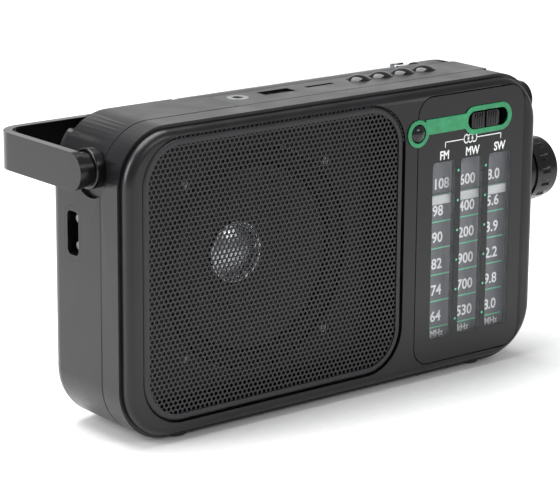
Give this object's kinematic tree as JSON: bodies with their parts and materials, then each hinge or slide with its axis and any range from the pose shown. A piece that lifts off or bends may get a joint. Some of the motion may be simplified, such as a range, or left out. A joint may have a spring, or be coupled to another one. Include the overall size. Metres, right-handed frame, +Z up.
{
  "type": "portable shortwave receiver",
  "caption": "Portable shortwave receiver: rounded black cabinet, perforated speaker grille, dial panel with scale windows, side tuning knob, bail handle and folding antenna.",
  "frame": {"origin": "on the surface that the rubber feet stand on, under the middle of the cabinet", "axes": "X to the right across the front, Y from the front to the back, Z up"},
  "size_m": [0.193, 0.062, 0.1021],
  "materials": {
    "cabinet_plastic": "satin moulded ABS",
    "gloss_black": "polished moulded ABS",
    "grille_steel": "perforated sheet with satin paint",
    "clear_plastic": "clear polished acrylic",
    "green_plastic": "glossy moulded plastic",
    "silver_scale": "printed satin sheet",
    "pale_plastic": "moulded acetal",
    "steel": "zinc plated",
    "core_steel": "varnished laminations",
    "cell_steel": "lacquered can",
    "ferrite": "pressed ferrite",
    "cone_paper": "dyed pressed paper",
    "rubber": "moulded rubber",
    "fabric": "resin treated weave",
    "chrome": "bright plating",
    "copper": "drawn wire and pins",
    "cord": "braided cord",
    "board": "soldered laminate"
  },
  "bodies": {
    "cabinet": {"battery_cells": "cell_steel", "battery_contacts": "steel", "cabinet_screws": "steel", "card_socket": "steel", "dial_bracket": "steel", "dial_cord": "cord", "dial_panel": "gloss_black", "dial_scale": "silver_scale", "dial_windows": "clear_plastic", "ferrite_aerial": "ferrite", "front_cabinet": "cabinet_plastic", "green_trim": "green_plastic", "handle_hubs": "gloss_black", "headphone_jack": "gloss_black", "indicator_lamps": "clear_plastic", "indicator_lens": "clear_plastic", "inlet_pins": "copper", "inner_screws": "steel", "main_board": "board", "mains_inlet": "cabinet_plastic", "mains_transformer": "core_steel", "media_board": "board", "power_board": "board", "rear_cabinet": "cabinet_plastic", "rubber_feet": "rubber", "speaker_basket": "steel", "speaker_grille": "grille_steel", "speaker_magnet": "ferrite", "speaker_spider": "fabric", "speaker_surround": "rubber", "speaker_yoke": "steel", "spindle_bush": "pale_plastic", "top_plate": "cabinet_plastic", "tuning_capacitor": "pale_plastic", "usb_socket": "steel", "volume_control": "board"},
    "cone": {"speaker_cone": "cone_paper", "dust_cap": "chrome", "voice_coil": "copper"},
    "knob": {"tuning_knob": "gloss_black", "tuning_spindle": "steel"},
    "pointer": {"dial_pointer": "pale_plastic"},
    "drum": {"tuning_drum": "pale_plastic"},
    "upper_pulley": {"cord_pulley_upper": "pale_plastic"},
    "lower_pulley": {"cord_pulley_lower": "pale_plastic"},
    "slider": {"band_slider": "gloss_black"},
    "wheel": {"volume_wheel": "gloss_black"},
    "previous": {"button_previous": "gloss_black"},
    "play": {"button_play": "gloss_black"},
    "next": {"button_next": "gloss_black"},
    "mode": {"button_mode": "gloss_black"},
    "door": {"battery_door": "cabinet_plastic"},
    "handle": {"carrying_handle": "gloss_black", "pivot_pins": "steel"},
    "swivel": {"antenna_swivel": "chrome"},
    "mast": {"antenna_base": "chrome"},
    "section_1": {"antenna_section_1": "chrome"},
    "section_2": {"antenna_section_2": "chrome"},
    "section_3": {"antenna_section_3": "chrome"},
    "tip": {"antenna_tip": "chrome"}
  },
  "joints": [
    {"name": "knob_turn", "type": "hinge", "parent": "cabinet", "child": "knob", "pos_m": [0.09, -0.008, 0.0633], "axis": [1, 0, 0], "range_deg": [0, 621.5]},
    {"name": "pointer_slide", "type": "slide", "parent": "cabinet", "child": "pointer", "axis": [0, 0, -1], "range_m": [0, 0.0435]},
    {"name": "drum_turn", "type": "hinge", "parent": "cabinet", "child": "drum", "pos_m": [0.0802, 0.0021, 0.0396], "axis": [1, 0, 0], "range_deg": [0, 178]},
    {"name": "upper_pulley_turn", "type": "hinge", "parent": "cabinet", "child": "upper_pulley", "pos_m": [0.0802, -0.0135, 0.0712], "axis": [1, 0, 0], "range_deg": [0, 1135]},
    {"name": "lower_pulley_turn", "type": "hinge", "parent": "cabinet", "child": "lower_pulley", "pos_m": [0.0802, -0.0135, 0.014], "axis": [1, 0, 0], "range_deg": [0, 1135]},
    {"name": "band_slide", "type": "slide", "parent": "cabinet", "child": "slider", "axis": [1, 0, 0], "range_m": [0, 0.0033]},
    {"name": "volume_turn", "type": "hinge", "parent": "cabinet", "child": "wheel", "pos_m": [0.0811, 0.007, 0.0166], "axis": [0, 1, 0], "range_deg": [0, 280]},
    {"name": "cone_travel", "type": "slide", "parent": "cabinet", "child": "cone", "axis": [0, -1, 0], "range_m": [-0.0005, 0.0005], "stiffness_N_per_m": 400},
    {"name": "previous_press", "type": "slide", "parent": "cabinet", "child": "previous", "axis": [0, 0, -1], "range_m": [0, 0.0006], "stiffness_N_per_m": 500, "springref_m": -0.0005},
    {"name": "play_press", "type": "slide", "parent": "cabinet", "child": "play", "axis": [0, 0, -1], "range_m": [0, 0.0006], "stiffness_N_per_m": 500, "springref_m": -0.0005},
    {"name": "next_press", "type": "slide", "parent": "cabinet", "child": "next", "axis": [0, 0, -1], "range_m": [0, 0.0006], "stiffness_N_per_m": 500, "springref_m": -0.0005},
    {"name": "mode_press", "type": "slide", "parent": "cabinet", "child": "mode", "axis": [0, 0, -1], "range_m": [0, 0.0006], "stiffness_N_per_m": 500, "springref_m": -0.0005},
    {"name": "door_hinge", "type": "hinge", "parent": "cabinet", "child": "door", "pos_m": [0.0325, 0.0195, 0.01185], "axis": [-1, 0, 0], "range_deg": [0, 80]},
    {"name": "handle_hinge", "type": "hinge", "parent": "cabinet", "child": "handle", "pos_m": [0, -0.003, 0.087], "axis": [1, 0, 0], "range_deg": [-35, 180]},
    {"name": "antenna_swing", "type": "hinge", "parent": "cabinet", "child": "swivel", "pos_m": [0.055, 0.0165, 0.0973], "axis": [0, 0, 1], "range_deg": [-90, 0]},
    {"name": "antenna_tilt", "type": "hinge", "parent": "swivel", "child": "mast", "pos_m": [0.055, 0.0165, 0.0973], "axis": [0, 1, 0], "range_deg": [0, 90]},
    {"name": "section_1_draw", "type": "slide", "parent": "mast", "child": "section_1", "axis": [-1, 0, 0], "range_m": [0, 0.066]},
    {"name": "section_2_draw", "type": "slide", "parent": "section_1", "child": "section_2", "axis": [-1, 0, 0], "range_m": [0, 0.066]},
    {"name": "section_3_draw", "type": "slide", "parent": "section_2", "child": "section_3", "axis": [-1, 0, 0], "range_m": [0, 0.066]},
    {"name": "tip_draw", "type": "slide", "parent": "section_3", "child": "tip", "axis": [-1, 0, 0], "range_m": [0, 0.066]}
  ],
  "couplings": [
    {"joint": "pointer_slide", "follows": "knob_turn", "m_per_rad": 0.004},
    {"joint": "drum_turn", "follows": "knob_turn", "ratio": 0.28571},
    {"joint": "upper_pulley_turn", "follows": "knob_turn", "ratio": 1.8182},
    {"joint": "lower_pulley_turn", "follows": "knob_turn", "ratio": 1.8182}
  ]
}
